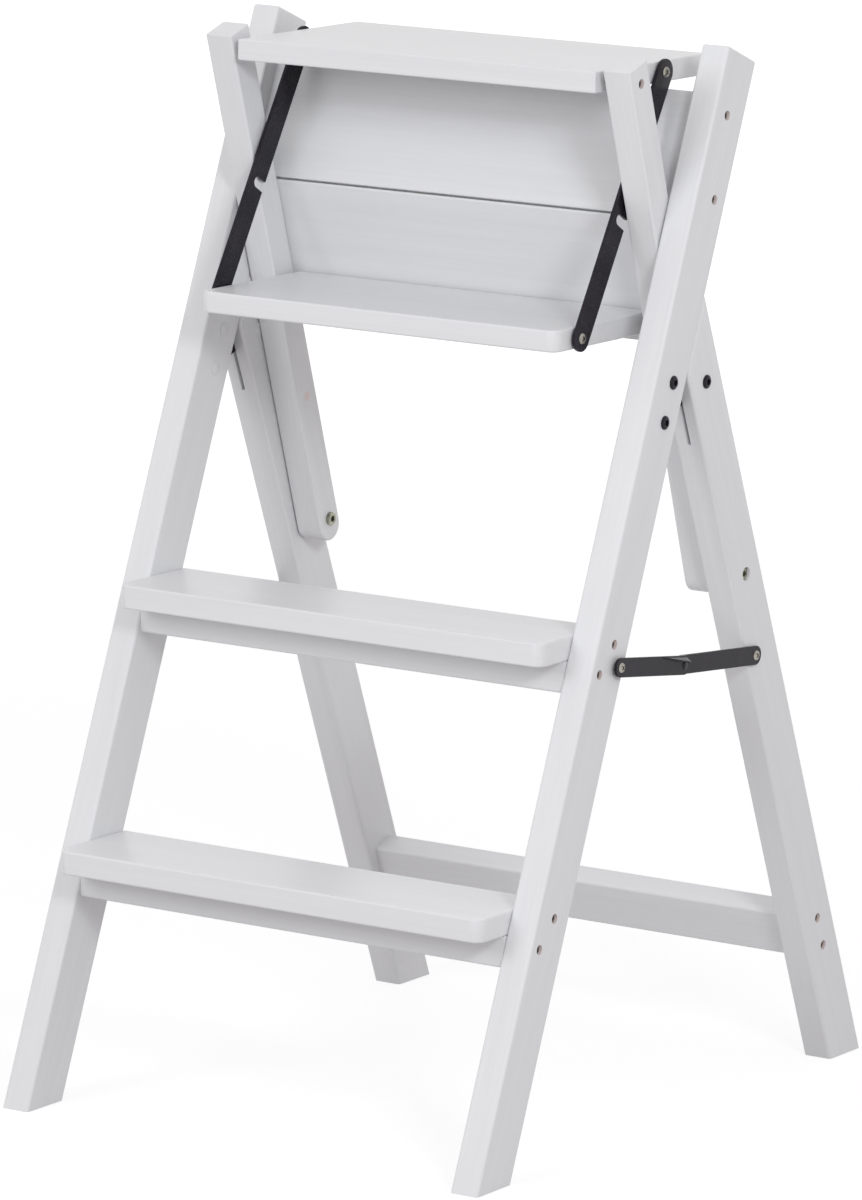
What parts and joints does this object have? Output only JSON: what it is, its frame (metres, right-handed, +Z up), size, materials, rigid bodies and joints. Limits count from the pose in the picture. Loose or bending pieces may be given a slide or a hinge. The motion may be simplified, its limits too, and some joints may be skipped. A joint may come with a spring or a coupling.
{
  "type": "folding step stool chair",
  "caption": "Folding step stool chair of painted wood: a leaning ladder frame with fixed treads, a hinged rear frame, and a seat frame that carries tilting upper steps on links.",
  "frame": {"origin": "on the floor, at the middle of the box that the opened stool fills", "axes": "+X across the stool, +Y from the front treads towards the rear legs, +Z up"},
  "size_m": [0.4912, 0.6104, 0.8918],
  "materials": {
    "painted_wood": "satin white paint",
    "dark_steel": "satin black coating",
    "bright_steel": "bright plated",
    "bronze_steel": "dark bronze plated",
    "plain_steel": "dark zinc plated"
  },
  "bodies": {
    "front_frame": {"front_leg_right": "painted_wood", "front_leg_left": "painted_wood", "lower_tread": "painted_wood", "lower_batten": "painted_wood", "middle_tread": "painted_wood", "middle_batten": "painted_wood", "back_panel": "painted_wood", "hinge_plate_right": "dark_steel", "hinge_plate_left": "dark_steel", "front_frame_screws": "plain_steel", "hinge_plate_bolts": "dark_steel", "stay_front_screws": "bright_steel"},
    "rear_frame": {"rear_leg_right": "painted_wood", "rear_leg_left": "painted_wood", "rear_rail": "painted_wood", "rear_rail_screws": "plain_steel", "hinge_bolts": "dark_steel", "strut_pivot_bolts": "bronze_steel", "stay_rear_screws": "bright_steel"},
    "seat_frame": {"strut_right": "painted_wood", "strut_left": "painted_wood", "seat_panel": "painted_wood", "seat_panel_screws": "plain_steel"},
    "top_step": {"top_step": "painted_wood", "top_step_pivots": "plain_steel", "link_upper_screws": "bright_steel"},
    "third_step": {"third_step": "painted_wood", "third_step_pivots": "plain_steel", "link_lower_screws": "bright_steel"},
    "links": {"link_right": "dark_steel", "link_left": "dark_steel"},
    "stay_front": {"stay_front_plate_right": "dark_steel", "stay_front_plate_left": "dark_steel", "stay_knee_rivets": "dark_steel"},
    "stay_rear": {"stay_rear_plate_right": "dark_steel", "stay_rear_plate_left": "dark_steel"}
  },
  "joints": [
    {"name": "rear_legs_fold", "type": "hinge", "parent": "front_frame", "child": "rear_frame", "pos_m": [0, 0.01933, 0.61856], "axis": [-1, 0, 0], "range_deg": [0, 44.1]},
    {"name": "seat_frame_swing", "type": "hinge", "parent": "rear_frame", "child": "seat_frame", "pos_m": [0, 0.09111, 0.44805], "axis": [1, 0, 0], "range_deg": [0, 26.46]},
    {"name": "top_step_lift", "type": "hinge", "parent": "seat_frame", "child": "top_step", "pos_m": [0, -0.0491, 0.86711], "axis": [1, 0, 0], "range_deg": [0, 14.99]},
    {"name": "third_step_lift", "type": "hinge", "parent": "seat_frame", "child": "third_step", "pos_m": [0, 0.01975, 0.66133], "axis": [-1, 0, 0], "range_deg": [0, 10.42]},
    {"name": "link_swing", "type": "hinge", "parent": "top_step", "child": "links", "pos_m": [0, 0.0349, 0.86711], "axis": [-1, 0, 0], "range_deg": [0, 13.72]},
    {"name": "stay_front_fold", "type": "hinge", "parent": "front_frame", "child": "stay_front", "pos_m": [0, -0.11227, 0.40132], "axis": [1, 0, 0], "range_deg": [0, 98.91]},
    {"name": "stay_rear_fold", "type": "hinge", "parent": "rear_frame", "child": "stay_rear", "pos_m": [0, 0.10631, 0.37715], "axis": [-1, 0, 0], "range_deg": [0, 27.24]}
  ],
  "couplings": [
    {"joint": "seat_frame_swing", "follows": "rear_legs_fold", "ratio": 0.6},
    {"joint": "top_step_lift", "follows": "rear_legs_fold", "ratio": 0.3399},
    {"joint": "third_step_lift", "follows": "rear_legs_fold", "ratio": 0.23624},
    {"joint": "link_swing", "follows": "rear_legs_fold", "ratio": 0.31105},
    {"joint": "stay_front_fold", "follows": "rear_legs_fold", "ratio": 2.2427},
    {"joint": "stay_rear_fold", "follows": "rear_legs_fold", "ratio": 0.61769}
  ]
}
